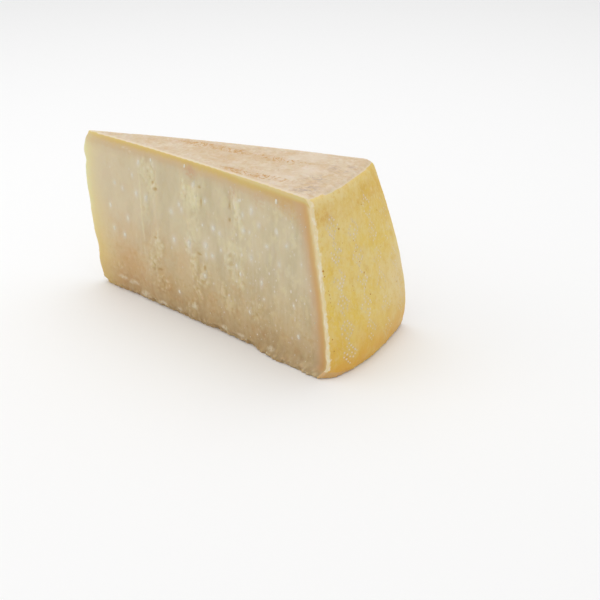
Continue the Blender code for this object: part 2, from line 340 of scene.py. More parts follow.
def patch_share(patches, along_mm, up_mm, wander, jag):
    """For each point: the patches' rise in mm, how torn it is and how pale."""
    rise = np.zeros_like(along_mm)
    torn = np.zeros_like(along_mm)
    pale = np.zeros_like(along_mm)
    for from_tip, height, half_width, half_height, lift, tear, tint_share in patches:
        across = (along_mm - from_tip + wander * min(2.4, half_width * 0.7)) / half_width
        upward = (up_mm - height + wander * 2.4) / half_height
        reach = np.sqrt(across**2 + upward**2) + jag * min(0.6, 2.4 / half_width)
        rise = np.maximum(rise, (1 - smooth_step(0.5, 1.2, reach)) * lift)
        torn = np.maximum(torn, (1 - smooth_step(0.6, 1.5, reach)) * tear)
        pale = np.maximum(pale, (1 - smooth_step(0.45, 1.6, reach)) * tint_share)
    return rise, torn, pale


def pit_share(pits, along_mm, up_mm, wander, jag):
    """For each point: the pits' depth in mm and how deep in one it lies, from 0 to 1."""
    depth = np.zeros_like(along_mm)
    inside = np.zeros_like(along_mm)
    for from_tip, height, half_width, half_height, deep in pits:
        across = (along_mm - from_tip + wander * half_width * 0.5) / half_width
        upward = (up_mm - height + wander * half_height * 0.5) / half_height
        within = 1 - smooth_step(0.2, 1.6, np.sqrt(across**2 + upward**2) + jag * 0.35)
        depth = np.maximum(depth, within * deep)
        inside = np.maximum(inside, within)
    return depth, inside


def seen_on_plane(points):
    """Where the camera's line through each point meets the front cut's flat plane, from the tip and up, in
    mm. The places listed for the front cut are on that plane, and its real face stands a little off it."""
    eye = np.array(CAMERA_PLACE)
    start = np.array((*TIP, 0))
    out = np.array((-math.sin(CUT_TURN), -math.cos(CUT_TURN), 0))
    along = np.array((math.cos(CUT_TURN), -math.sin(CUT_TURN), 0))
    reach = ((start - eye) @ out) / ((points - eye) @ out)
    met = eye + (points - eye) * reach[:, None] - start
    return met @ along / MM, met[:, 2] / MM


def warmth_share(zones, along_mm, up_mm, wander):
    total = np.zeros_like(along_mm)
    for from_tip, height, radius, share in zones:
        away = np.hypot(along_mm - from_tip, up_mm - height) + wander * 5
        total = np.maximum(total, (1 - smooth_step(0.15, 1.0, away / radius)) * share)
    return total


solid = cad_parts["cheese_wedge"]
solid_mesh = welded_mesh(solid)
sides = side_trees(solid_mesh)

wedge = bpy.data.objects.new("wedge", solid_mesh)
scene.collection.objects.link(wedge)
evener = wedge.modifiers.new("even_faces", "REMESH")
evener.mode = "VOXEL"
evener.voxel_size = FINE_STEP
evener.use_smooth_shade = True
plain_mesh(wedge)
wedge.data.name = "wedge"

skin = read_points(wedge.data)
ends = np.array([edge.vertices[:] for edge in wedge.data.edges])
gap = {side: gaps_mm(tree, skin) for side, tree in sides.items()}
gap["cut"] = np.minimum(gap["front"], gap["back"])
by_side = np.array([gap[side] for side in SIDES])
keep_edge = smooth_step(0.0, EDGE_KEEP_MM, np.sort(by_side, axis=0)[1])
by_side[SIDES.index("heel")] -= HEEL_REACHES_MM
nearest = np.argmin(by_side, axis=0)
skin = spread(skin, ends, SMOOTH_ROUNDS, 0.08 + 0.42 * keep_edge)

on_cut, on_heel, on_top, on_base = (
    spread((nearest == side).astype(float), ends, SKIN_BLEND_ROUNDS, 0.5) for side in range(len(SIDES))
)
is_front = skin[:, 1] < TIP.y

along_mm = np.hypot(skin[:, 0] - TIP.x, skin[:, 1] - TIP.y) * np.sign(skin[:, 0] - TIP.x) / MM
up_mm = skin[:, 2] / MM
seen = seen_on_plane(skin)
wander = field(skin, 7, "a")
jag = field(skin, 1.9, "h", stretch=(1, 1, 1.5), octaves=2) * 0.6
jag += field(skin, 4.6, "k", stretch=(1, 1, 1.5), octaves=2) * 0.6


def by_cut(rule, front, back, *fields):
    """Follows a rule with the front cut's list or the back cut's, whichever a point is on."""
    both = [rule(front, *seen, *fields), rule(back, along_mm, up_mm, *fields)]
    if isinstance(both[0], tuple):
        return tuple(np.where(is_front, *pair) for pair in zip(*both))
    return np.where(is_front, *both)


rise, torn, pale = by_cut(patch_share, FRONT_PATCHES, BACK_PATCHES, wander, jag)
pit_depth, pit = by_cut(pit_share, FRONT_PITS, BACK_PITS, wander, jag)
chip_rise, chip = by_cut(pit_share, FRONT_CHIPS, BACK_CHIPS, wander, jag)
warm = by_cut(warmth_share, FRONT_WARMTH, BACK_WARMTH, wander)
blush = by_cut(warmth_share, FRONT_BLUSH, BACK_BLUSH, wander * 0.5)

lowness = 1 - smooth_step(*LOW_PART_MM, up_mm)
foot = 1 - smooth_step(0.4 * FOOT_MM, 1.6 * FOOT_MM, up_mm + wander * 2)
calm_rim = smooth_step(1, 7, gap["top"]) * smooth_step(2, 12, gap["heel"])
toward_heel = smooth_step(*HEELWARD_MM, along_mm)
grainy = np.clip(0.16 + 0.5 * lowness + (0.9 + 0.9 * lowness) * torn, 0, 1.9)
grainy = grainy * (0.25 + 0.75 * calm_rim)
flakes = ledges(field(skin, 11, "b", stretch=(1, 1, 2.2)), 3) * FLAKES_MM
streaks = field(skin, 2.2, "c", stretch=(1, 1, 9), octaves=2) * (0.02 + 0.05 * toward_heel)
lumps = crumb_field(skin, 3.1, "d") * LUMPS_MM * grainy
tears = ledges(field(skin, 4.5, "e", stretch=(1, 1, 1.4)), 3) * TEARS_MM
tears = tears * np.clip(torn + 0.2 * lowness, 0, 1)
chips = (crumb_field(skin, 3.2, "f") * 1.8 - 0.2 + field(skin, 6, "g") * 0.5) * foot
notches = smooth_step(0.1, 0.5, field(skin, 11, "j", octaves=2)) * (1 - smooth_step(1.0, 5.0, up_mm))
cut_relief = (flakes + streaks + rise) * calm_rim + lumps + tears - pit_depth + chips + chip_rise
cut_relief -= notches * NOTCH_MM
heel_relief = field(skin, 14, "g") * HEEL_WAVES_MM
heel_relief = heel_relief + field(skin, 3.0, "b", stretch=(1, 1, 7), octaves=2) * HEEL_GRAIN_MM
heel_relief += field(skin, 1.8, "i") * HEEL_GRAIN_MM + chips * 0.4
top_relief = field(skin, 9, "c") * TOP_WAVES_MM + field(skin, 2.2, "e") * TOP_GRAIN_MM
relief = cut_relief * on_cut + heel_relief * on_heel + top_relief * on_top

wedge.data.vertices.foreach_set("co", skin.astype(np.float32).ravel())
wedge.data.update()
outward = np.empty(len(skin) * 3, np.float32)
wedge.data.vertex_normals.foreach_get("vector", outward)
skin = skin + outward.reshape(-1, 3) * (relief * MM)[:, None]
skin[:, 2] = np.maximum(skin[:, 2], 0)
is_base = nearest == SIDES.index("base")
skin[is_base, 2] = np.minimum(skin[is_base, 2], BASE_ROUGH_MM * MM)

# The rind swells out a little more toward its foot. Near it the front cut's foot has a lip, and the corner
# between them is broken off. How far it swells goes by the share of the way round from that corner.
RIND_SWELL_MM = ((0.0, 0.0), (0.1, 1.8), (0.22, 3.4), (0.45, 3.4), (0.7, 1.8), (1.0, 0.8))
SWELL_HEIGHTS_MM = (14, 52)
SWELL_FROM_TIP_MM = (150, 200)
CORNER_BREAK_MM = 4.0
CORNER_BREAK_SHARE = 0.09
CORNER_BREAK_HEIGHTS_MM = (0, 7)
LIP_MM = 3.2
LIP_SHARE = 0.3
LIP_HEIGHTS_MM = (0.5, 8)
LIP_FROM_TIP_MM = (140, 170)
from_tip = skin[:, :2] - np.array(TIP)
round_share = np.arctan2(from_tip[:, 1], from_tip[:, 0]) / (2 * CUT_TURN) + 0.5
swell = np.interp(round_share, *zip(*RIND_SWELL_MM))
swell *= 1 - smooth_step(*SWELL_HEIGHTS_MM, up_mm)
at_corner = 1 - smooth_step(0, CORNER_BREAK_SHARE, round_share)
swell -= CORNER_BREAK_MM * at_corner * (1 - smooth_step(*CORNER_BREAK_HEIGHTS_MM, up_mm))
swell *= smooth_step(*SWELL_FROM_TIP_MM, along_mm)
skin[:, :2] += from_tip * (swell * MM / np.hypot(*from_tip.T))[:, None]
lip = LIP_MM * (1 - smooth_step(0, LIP_SHARE, round_share))
lip = lip * (1 - smooth_step(*LIP_HEIGHTS_MM, up_mm)) * smooth_step(*LIP_FROM_TIP_MM, along_mm)
skin[:, :2] -= np.array((math.sin(CUT_TURN), math.cos(CUT_TURN))) * (lip * MM)[:, None]
wedge.data.vertices.foreach_set("co", skin.astype(np.float32).ravel())
wedge.data.update()

# How far each point lies behind the blunt tip, level by level
LEVEL_MM = 2.0
level = (up_mm / LEVEL_MM).astype(int)
foremost = np.full(level.max() + 1, np.inf)
np.minimum.at(foremost, level, skin[:, 0])
foremost = np.convolve(np.pad(foremost, 2, mode="edge"), np.ones(5) / 5, mode="valid")
tip_gap = (skin[:, 0] - foremost[level]) / MM

# The ochre band under the flat side thins out partway along, and its haze deepens toward both ends
thinnest = np.where(is_front, FRONT_THIN_MM, BACK_THIN_MM)
off_thinnest = (along_mm - thinnest) / THIN_REACH_MM
thinning = np.exp(-(off_thinnest**2))
band_depth = gap["top"] * RIND_BAND_MM / (RIND_BAND_MM - RIND_BAND_THINS_MM * thinning)
band_depth += np.interp(along_mm, *zip(*BAND_RISES))
corner = 1 - smooth_step(*CORNER_HAZE_MM, gap["top"] * 0.9 + gap["heel"] * 0.55 + wander * 2)

milky = on_cut * smooth_step(3, 8, gap["top"]) * smooth_step(4, 9, gap["heel"])
beyond_tip = smooth_step(30, 60, along_mm)
local_rise = spread(relief, ends, 1, 0.5) - spread(relief, ends, 14, 0.5)
liveliness = 0.06 + 0.12 * np.clip(torn + 0.4 * lowness + foot, 0, 1)
MARKS = {
    "paste": np.clip(on_cut + on_base, 0, 1),
    "on_top": on_top,
    "gap_top": band_depth,
    "gap_heel": gap["heel"],
    "gap_cut": gap["cut"],
    "gap_tip": tip_gap,
    "corner": corner * on_cut,
    "torn": torn,
    "pale": pale,
    "pit": pit,
    "warm": warm,
    "foot": foot,
    "blush": blush * on_cut,
    "chip": chip * on_cut,
    "fine_dots": np.clip(0.08 + 0.9 * toward_heel + 0.35 * lowness * beyond_tip, 0, 1),
    "raised": local_rise / liveliness,
    "big_crystals": milky * beyond_tip * (0.5 + 0.5 * toward_heel) * (1 - 0.7 * lowness),
    "small_crystals": milky * toward_heel,
    "crumbled": on_cut * np.clip(foot + 0.35 * torn * lowness, 0, 1) * smooth_step(1.6, 3.0, up_mm),
}


def store(name, values):
    """Keeps a number for each of the wedge's points, for its material and for what sits on it."""
    layer = wedge.data.attributes.new(name, "FLOAT", "POINT")
    layer.data.foreach_set("value", values.astype(np.float32))


for name, values in MARKS.items():
    store(name, values)


def tint(red, green, blue):
    """A colour named on the eye's 0 to 255 scale, as a shader wants it."""
    parts = (part / 255 for part in (red, green, blue))
    return (*(p / 12.92 if p <= 0.04045 else ((p + 0.055) / 1.055) ** 2.4 for p in parts), 1.0)


def add(tree, kind, inputs=None, **settings):
    """Adds a node. Inputs are filled by name or place with a value, or linked where it is a socket."""
    made = tree.nodes.new(kind)
    for name, value in settings.items():
        setattr(made, name, value)
    for name, value in (inputs or {}).items():
        if isinstance(value, bpy.types.NodeSocket):
            tree.links.new(value, made.inputs[name])
        else:
            made.inputs[name].default_value = value
    return made


def join(kind, inputs, **settings):
    """Adds a node to the tree that its inputs' first socket belongs to."""
    sockets = (value for value in inputs.values() if isinstance(value, bpy.types.NodeSocket))
    return add(next(sockets).id_data, kind, inputs, **settings)


def calc(operation, first, second=0.0, third=0.0):
    return join("ShaderNodeMath", {0: first, 1: second, 2: third}, operation=operation).outputs[0]


def times(first, second):
    return calc("MULTIPLY", first, second)


def line(value, slope, base):
    """The value times the slope, plus the base."""
    return calc("MULTIPLY_ADD", value, slope, base)


def between(value, low, high):
    """0 below low, 1 above high, and smooth in between. High may be the lower one."""
    places = {"Value": value, "From Min": low, "From Max": high}
    return join("ShaderNodeMapRange", places, interpolation_type="SMOOTHSTEP").outputs[0]


def blend(share, under, over, mode="MIX"):
    """Lays the colour over on the colour under, as far as share says."""
    places = {0: share, 6: under, 7: over}
    return join("ShaderNodeMix", places, data_type="RGBA", blend_type=mode).outputs[2]


def lay(under, over, share, cover):
    """Lays the colour over on the colour under, as far as share times cover."""
    return blend(times(share, cover), under, over)


def mark(tree, name):
    return add(tree, "ShaderNodeAttribute", attribute_name=name).outputs["Fac"]


def stretched(place, scale):
    return join("ShaderNodeMapping", {"Vector": place, "Scale": scale}).outputs[0]


def clouds(place, scale, detail=3.0, roughness=0.55, distortion=0.0):
    """Noise from 0 to 1. Scale is in patterns to the metre."""
    places = {"Vector": place, "Scale": scale, "Detail": detail, "Roughness": roughness}
    places["Distortion"] = distortion
    return join("ShaderNodeTexNoise", places).outputs["Fac"]


def cloudy(place, low, high, *kind):
    """Patches of noise: 0 where it is below low, 1 where it is above high. Kind is its scale and so on."""
    return between(clouds(place, *kind), low, high)


def lay_clouds(place, colour, layers):
    """Lays patches of other colours over a colour. Each has its noise's scale, detail and roughness, how
    tall its patterns are against it, the noise that they start from and are full at, cover and colour."""
    for scale, detail, rough, squeeze, low, high, cover, over in layers:
        drawn = stretched(place, (1, 1, squeeze))
        colour = lay(colour, over, cloudy(drawn, low, high, scale, detail, rough), cover)
    return colour


def spots(place, scale, size, amount):
    """Soft dots in a share of the cells of a scattered pattern."""
    cells = join("ShaderNodeTexVoronoi", {"Vector": place, "Scale": scale})
    dice = join("ShaderNodeSeparateColor", {0: cells.outputs["Color"]})
    radius = line(dice.outputs[1], size * 0.7, size * 0.3)
    share = calc("DIVIDE", cells.outputs["Distance"], radius)
    there = calc("LESS_THAN", dice.outputs[0], amount)
    return times(between(share, 1.0, 0.35), there)


def ramp(value, reach, stops):
    """Colour and cover at a depth: stops are (depth, colour, cover), with reach the last depth."""
    depth = calc("DIVIDE", value, reach)
    made = join("ShaderNodeValToRGB", {0: depth})
    while len(made.color_ramp.elements) < len(stops):
        made.color_ramp.elements.new(1.0)
    for element, (place, colour, cover) in zip(made.color_ramp.elements, stops):
        element.position = place / reach
        element.color = (*colour[:3], cover)
    return made.outputs["Color"], made.outputs["Alpha"]


STRAW = tint(211, 197, 163)
DEEP_STRAW = tint(201, 187, 153)
TIPWARD_STRAW = tint(216, 199, 167)
TAN = tint(200, 160, 106)
WARM_TAN = tint(215, 166, 102)
# Ochre for the paste's dark grain, and for the painted shade in its hollows
OCHRE_GRAIN_AND_CREVICE_SHADE = tint(188, 158, 100)
PALE_FLAKE = tint(220, 209, 170)
WHITE_FLAKE = tint(224, 215, 190)
PIT_OCHRE_AND_SHADE = tint(186, 154, 94)
BLUSH = tint(204, 166, 132)
CHALK = tint(221, 213, 200)
FOOT_CREAM = tint(228, 216, 182)
# Heights, and distances from the tip or the heel, between which a look comes in
LOW_LOOK_MM = (70, 12)
TIPWARD_MM = (105, 15)
TIP_GOLD_MM = (92, 24)
LIT_BY_HEEL_MM = (34, 8)
STRIP_NARROWS_MM = (85, 25)
STRIP_FOOT_MM = (3.0, 7.0)
STRIP_TOP_MM = (1.0, 3.5)
# White dots: dots to the metre and size, then how many and how white, as a slope and base on "fine_dots"
PASTE_DOTS = (
    (420, 0.26, (0.0, 0.6), (0.6, 0.0)),
    (260, 0.29, (0.0, 0.7), (0.9, 0.0)),
    (165, 0.24, (0.5, 0.15), (0.0, 0.55)),
    (90, 0.19, (0.25, 0.12), (0.0, 0.5)),
)
# Painted shade and bounce light: what the paste's colour is multiplied by at each height, darker and tanner
# toward the foot
PASTE_FOOT_SHADE_REACH_MM = 76.0
PASTE_FOOT_SHADE_TONES = (
    (0.0, (0.69, 0.56, 0.42), 1.0),
    (8.0, (0.76, 0.63, 0.485), 1.0),
    (16.0, (0.82, 0.69, 0.55), 1.0),
    (24.0, (0.88, 0.78, 0.65), 1.0),
    (44.0, (0.96, 0.91, 0.845), 1.0),
    (60.0, (0.985, 0.975, 0.975), 1.0),
    (76.0, (1.0, 1.0, 1.0), 1.0),
)
# Colours at each depth in mm under the flat side, then under the heel and behind the tip, and their cover
SKIN_REACH_MM = 13.0
TIP_REACH_MM = 30.0
UNDER_TOP = (
    (0.0, tint(216, 195, 136), 1.0),
    (1.0, tint(213, 188, 118), 1.0),
    (2.2, tint(212, 184, 113), 1.0),
    (3.2, tint(211, 182, 120), 1.0),
    (4.2, tint(209, 181, 130), 0.95),
    (5.6, tint(208, 180, 137), 0.85),
    (7.4, tint(205, 178, 138), 0.7),
    (9.4, tint(205, 182, 147), 0.4),
    (13.0, tint(204, 184, 150), 0.0),
)
UNDER_HEEL = (
    (0.0, tint(225, 206, 158), 1.0),
    (1.8, tint(221, 200, 150), 1.0),
    (2.5, tint(214, 184, 126), 1.0),
    (3.4, tint(210, 172, 112), 1.0),
    (4.8, tint(208, 168, 112), 1.0),
    (6.4, tint(206, 169, 124), 0.85),
    (8.6, tint(205, 172, 136), 0.55),
    (13.0, tint(205, 180, 150), 0.0),
)
CORNER_HAZE = tint(206, 169, 114)
AT_TIP = (
    (0.0, tint(226, 226, 178), 1.0),
    (4.0, tint(227, 218, 164), 0.95),
    (8.0, tint(225, 210, 160), 0.8),
    (14.0, tint(222, 205, 162), 0.5),
    (20.0, tint(218, 200, 164), 0.25),
    (30.0, tint(218, 199, 164), 0.0),
)
TIP_GOLD = tint(230, 210, 144)


def paste_look(tree, place):
    """Colour of the split paste."""
    height_mm = calc("DIVIDE", add(tree, "ShaderNodeSeparateXYZ", {0: place}).outputs["Z"], MM)
    low = between(height_mm, *LOW_LOOK_MM)
    torn = mark(tree, "torn")
    raised = mark(tree, "raised")
    fine_dots = mark(tree, "fine_dots")
    gap_heel = mark(tree, "gap_heel")
    panels = cloudy(stretched(place, (1, 1, 0.35)), 0.38, 0.62, 75, 3)
    colour = blend(panels, DEEP_STRAW, STRAW)
    tipward = between(mark(tree, "gap_tip"), *TIPWARD_MM)
    colour = lay(colour, TIPWARD_STRAW, tipward, 0.7)

    grain = clouds(stretched(place, (1, 1, 0.6)), 330, 4, 0.65)
    dark_grain = between(grain, 0.5, 0.32)
    grain_share = line(low, 0.26, 0.07)
    grain_share = line(torn, 0.3, grain_share)
    colour = blend(times(dark_grain, grain_share), colour, OCHRE_GRAIN_AND_CREVICE_SHADE)
    mottle = cloudy(place, 0.5, 0.68, 120, 4, 0.6)
    colour = blend(times(mottle, line(low, 0.24, 0.09)), colour, TAN)
    bright = cloudy(stretched(place, (1, 1, 0.55)), 0.5, 0.66, 190, 3, 0.6)
    bright_share = line(fine_dots, 0.4, 0.12)
    colour = blend(times(bright, bright_share), colour, PALE_FLAKE)
    colour = lay(colour, WARM_TAN, mark(tree, "warm"), 0.34)

    flake_grain = cloudy(place, 0.32, 0.62, 260, 3, 0.6)
    pale = times(mark(tree, "pale"), line(flake_grain, 0.45, 0.6))
    colour = blend(pale, colour, PALE_FLAKE)
    # Raised relief is whitened: partly the torn paste's white flakes, partly painted highlight
    white_and_highlight_share = line(torn, 0.5, line(low, 0.28, 0.06))
    raised_white_and_highlight = times(between(raised, 0.0, 1.4), between(grain, 0.3, 0.55))
    colour = blend(times(raised_white_and_highlight, white_and_highlight_share), colour, WHITE_FLAKE)
    # Painted shade in hollows: sunken relief is darkened toward ochre, less so at the foot
    hollow_shade_share = line(torn, 0.32, line(low, 0.2, 0.05))
    hollow_shade_share = times(hollow_shade_share, line(mark(tree, "foot"), -0.8, 1.0))
    hollow_shade = times(between(raised, -0.1, -1.5), hollow_shade_share)
    colour = blend(hollow_shade, colour, OCHRE_GRAIN_AND_CREVICE_SHADE)
    # Darker ochre in the pits: the paste's ochre spots and painted shade in the dents
    colour = lay(colour, PIT_OCHRE_AND_SHADE, mark(tree, "pit"), 0.85)

    streak_place = stretched(place, (1, 1, 0.06))
    streak = cloudy(streak_place, 0.45, 0.7, 600, 2, 0.5)
    streak = times(streak, cloudy(place, 0.38, 0.58, 45, 2))
    colour = lay(colour, CHALK, times(streak, fine_dots), 0.16)
    tall_place = stretched(place, (1, 1, 0.65))
    for scale, size, amount, whiteness in PASTE_DOTS:
        dots = spots(tall_place, scale, size, line(fine_dots, *amount))
        colour = lay(colour, CHALK, dots, line(fine_dots, *whiteness))
    colour = lay(colour, CHALK, mark(tree, "halo"), 0.85)
    # Raised lumps at the foot are creamier: pale crumbs, with painted highlight on them
    foot_cream_and_highlight = between(raised, -0.1, 1.2)
    colour = blend(times(mark(tree, "foot"), times(foot_cream_and_highlight, 0.7)), colour, FOOT_CREAM)

    wobble = line(clouds(place, 60, 4, 0.65), 7.0, -3.5)
    tip_colour, tip_cover = ramp(mark(tree, "gap_tip"), TIP_REACH_MM, AT_TIP)
    tip_colour = lay(tip_colour, TIP_GOLD, between(height_mm, *TIP_GOLD_MM), 0.85)
    colour = blend(tip_cover, colour, tip_colour)
    # Painted shade and bounce light, darker toward the foot; a little less behind the tip and by the heel
    foot_shade_height = line(wobble, 0.9, height_mm)
    foot_shade_tone, _ = ramp(foot_shade_height, PASTE_FOOT_SHADE_REACH_MM, PASTE_FOOT_SHADE_TONES)
    foot_shade_share = line(tip_cover, -0.15, 1.0)
    foot_shade_share = line(between(gap_heel, *LIT_BY_HEEL_MM), -0.2, foot_shade_share)
    colour = blend(foot_shade_share, colour, foot_shade_tone, "MULTIPLY")

    fray = line(clouds(place, 330, 3, 0.6), 4.0, -2.0)
    fray = times(fray, between(mark(tree, "gap_top"), *STRIP_TOP_MM))
    top_gap = calc("ADD", line(wobble, 0.35, mark(tree, "gap_top")), fray)
    top_colour, top_cover = ramp(top_gap, SKIN_REACH_MM, UNDER_TOP)
    top_cover = times(top_cover, line(tip_cover, -0.3, 1.0))
    colour = blend(top_cover, colour, top_colour)
    haze = cloudy(place, 0.36, 0.6, 280, 4, 0.65)
    haze = line(haze, 0.45, 0.45)
    haze = times(haze, between(top_gap, 0.8, 3.0))
    colour = blend(times(mark(tree, "corner"), haze), colour, CORNER_HAZE)
    ragged = clouds(stretched(place, (1, 1, 0.4)), 200, 4)
    ragged = line(ragged, 3.0, -1.5)
    heel_gap = calc("ADD", line(wobble, 0.2, gap_heel), ragged)
    heel_gap = line(between(height_mm, *STRIP_NARROWS_MM), 0.9, heel_gap)
    heel_colour, heel_cover = ramp(heel_gap, SKIN_REACH_MM, UNDER_HEEL)
    # Half of the painted foot shade falls on the strip by the heel
    heel_colour = blend(0.5, heel_colour, foot_shade_tone, "MULTIPLY")
    heel_cover = times(heel_cover, between(top_gap, *STRIP_TOP_MM))
    heel_cover = times(heel_cover, between(height_mm, *STRIP_FOOT_MM))
    colour = blend(heel_cover, colour, heel_colour)
    blush_grain = cloudy(place, 0.35, 0.6, 420, 3, 0.6)
    colour = blend(times(mark(tree, "blush"), times(blush_grain, 0.8)), colour, BLUSH)
    chip_grain = cloudy(place, 0.3, 0.55, 500, 3, 0.6)
    return blend(times(mark(tree, "chip"), times(chip_grain, 0.6)), colour, WHITE_FLAKE)


DEEP_GOLD = tint(226, 195, 92)
PALE_GOLD = tint(228, 203, 125)
CREAM_GOLD = tint(228, 207, 148)
OCHRE_GOLD = tint(218, 178, 74)
BAND_OCHRE = tint(213, 169, 78)
BROWN_GOLD = tint(208, 160, 68)
ORANGE_GOLD = tint(225, 182, 82)
FOOT_EDGE_HIGHLIGHT = tint(222, 196, 128)
DULL_CREAM = tint(226, 205, 160)
RIND_EDGE = tint(230, 213, 168)
PIN_HAZE = tint(222, 200, 160)
RIND_CHALK = tint(238, 229, 206)
RIND_FOOT = tint(208, 168, 112)
# Parts of the rind: from and to which place across the wedge, or which height in mm
BACK_PART = (-0.01, 0.04)
FRONT_PART = (0.005, -0.03)
HIGH_PART_MM = (72, 84)
DULL_PART_MM = (74, 46)
UNDER_RIM_MM = (104, 111)
BAND_FOOT_MM = (93, 100)
BAND_TOP_MM = (110, 104)
ORANGE_PART_MM = (36, 4)
RIND_CLOUDS = (
    (150, 4, 0.65, 0.6, 0.48, 0.66, 0.36, OCHRE_GOLD),
    (240, 4, 0.65, 0.6, 0.48, 0.64, 0.36, CREAM_GOLD),
    (430, 4, 0.65, 1.0, 0.52, 0.64, 0.4, OCHRE_GOLD),
    (600, 3, 0.6, 0.6, 0.52, 0.64, 0.45, CREAM_GOLD),
    (95, 4, 0.7, 1.0, 0.6, 0.72, 0.3, BROWN_GOLD),
)
# Painted shade near the rind's foot: what its colour is multiplied by at each height there
RIND_FOOT_SHADE_REACH_MM = 34.0
RIND_FOOT_SHADE_TONES = (
    (0.0, (0.91, 0.77, 0.53), 1.0),
    (8.0, (0.95, 0.83, 0.63), 1.0),
    (20.0, (0.97, 0.925, 0.79), 1.0),
    (34.0, (1.0, 1.0, 1.0), 1.0),
)


def rind_look(tree, place):
    """Colour of the golden rind round the heel."""
    split = add(tree, "ShaderNodeSeparateXYZ", {0: place})
    height_mm = calc("DIVIDE", split.outputs["Z"], MM)
    colour = blend(cloudy(place, 0.4, 0.6, 55, 6, 0.7), DEEP_GOLD, PALE_GOLD)
    back_part = between(split.outputs["Y"], *BACK_PART)
    front_part = between(split.outputs["Y"], *FRONT_PART)
    high = between(height_mm, *HIGH_PART_MM)
    colour = lay(colour, OCHRE_GOLD, times(back_part, high), 0.5)
    colour = lay(colour, CREAM_GOLD, times(front_part, high), 0.4)
    mid_height = times(back_part, between(height_mm, *DULL_PART_MM))
    colour = lay(colour, DULL_CREAM, mid_height, 0.7)
    cream_share = line(back_part, -0.55, 0.65)
    under_rim = times(between(height_mm, *UNDER_RIM_MM), cream_share)
    colour = blend(under_rim, colour, CREAM_GOLD)
    blotch = cloudy(place, 0.42, 0.6, 70, 5, 0.7)
    band = times(between(height_mm, *BAND_FOOT_MM), between(height_mm, *BAND_TOP_MM))
    colour = blend(times(band, line(blotch, 0.6, 0.25)), colour, BAND_OCHRE)
    colour = lay_clouds(place, colour, RIND_CLOUDS)
    colour = lay(colour, PIN_HAZE, mark(tree, "pin_haze"), 0.4)
    near_foot = cloudy(place, 0.3, 0.6, 90, 3)
    near_foot = times(near_foot, between(height_mm, *ORANGE_PART_MM))
    colour = lay(colour, ORANGE_GOLD, near_foot, 0.7)
    # Painted shade: the rind gets darker and more orange toward its foot
    foot_shade_tone, _ = ramp(height_mm, RIND_FOOT_SHADE_REACH_MM, RIND_FOOT_SHADE_TONES)
    colour = blend(1.0, colour, foot_shade_tone, "MULTIPLY")
    worn = line(clouds(place, 260, 3, 0.6), 3.0, -1.5)
    edge_gap = calc("ADD", mark(tree, "gap_cut"), worn)
    colour = blend(between(edge_gap, 1.9, 0.9), colour, RIND_EDGE)
    ragged = cloudy(stretched(place, (1, 1, 0.5)), 0.5, 0.6, 420, 3, 0.6)
    edge_white = times(between(edge_gap, 3.0, 1.2), ragged)
    colour = lay(colour, RIND_CHALK, edge_white, 0.7)
    foot_rise = line(mark(tree, "gap_cut"), -0.24, 5.5)
    # Painted highlight: a pale yellow line along the rind's rounded foot
    colour = lay(colour, FOOT_EDGE_HIGHLIGHT, between(height_mm, 1.6, 0.6), 0.7)
    under_foot = between(calc("SUBTRACT", height_mm, foot_rise), 0.5, -0.5)
    return lay(colour, RIND_FOOT, under_foot, 0.85)


FLAT_PINK = tint(207, 182, 148)
FLAT_CREAM = tint(213, 195, 168)
FLAT_MARK = tint(198, 162, 114)
FLAT_STROKE = tint(194, 150, 92)
FLAT_GREY = tint(174, 152, 140)
FLAT_WHITE = tint(223, 208, 190)
FLAT_EDGE_HIGHLIGHT = tint(228, 213, 188)
FLAT_CLOUDS = (
    (300, 4, 0.7, 1.0, 0.5, 0.62, 0.36, FLAT_MARK),
    (240, 4, 0.7, 1.0, 0.5, 0.62, 0.5, FLAT_WHITE),
)
# Two bands of faint strokes along the wedge: x at both ends, y and half width, in mm from the tip's corner
STROKE_BANDS = ((62, 172, 8.2, 3.8), (110, 174, -22.0, 3.5))
STROKE_FADE_MM = 16
# Soft stains, each at an x and a y with a radius, in mm from the tip's corner
GREY_STAINS = ((180, -27, 12), (178, -10, 11), (184, 14, 12))
OCHRE_STAINS = ((90, 3, 16), (112, -5, 20), (182, 12, 11), (134, 8, 16))
CREAM_STAINS = ((158, -20, 16), (150, 14, 8), (168, 2, 12), (160, 24, 16))


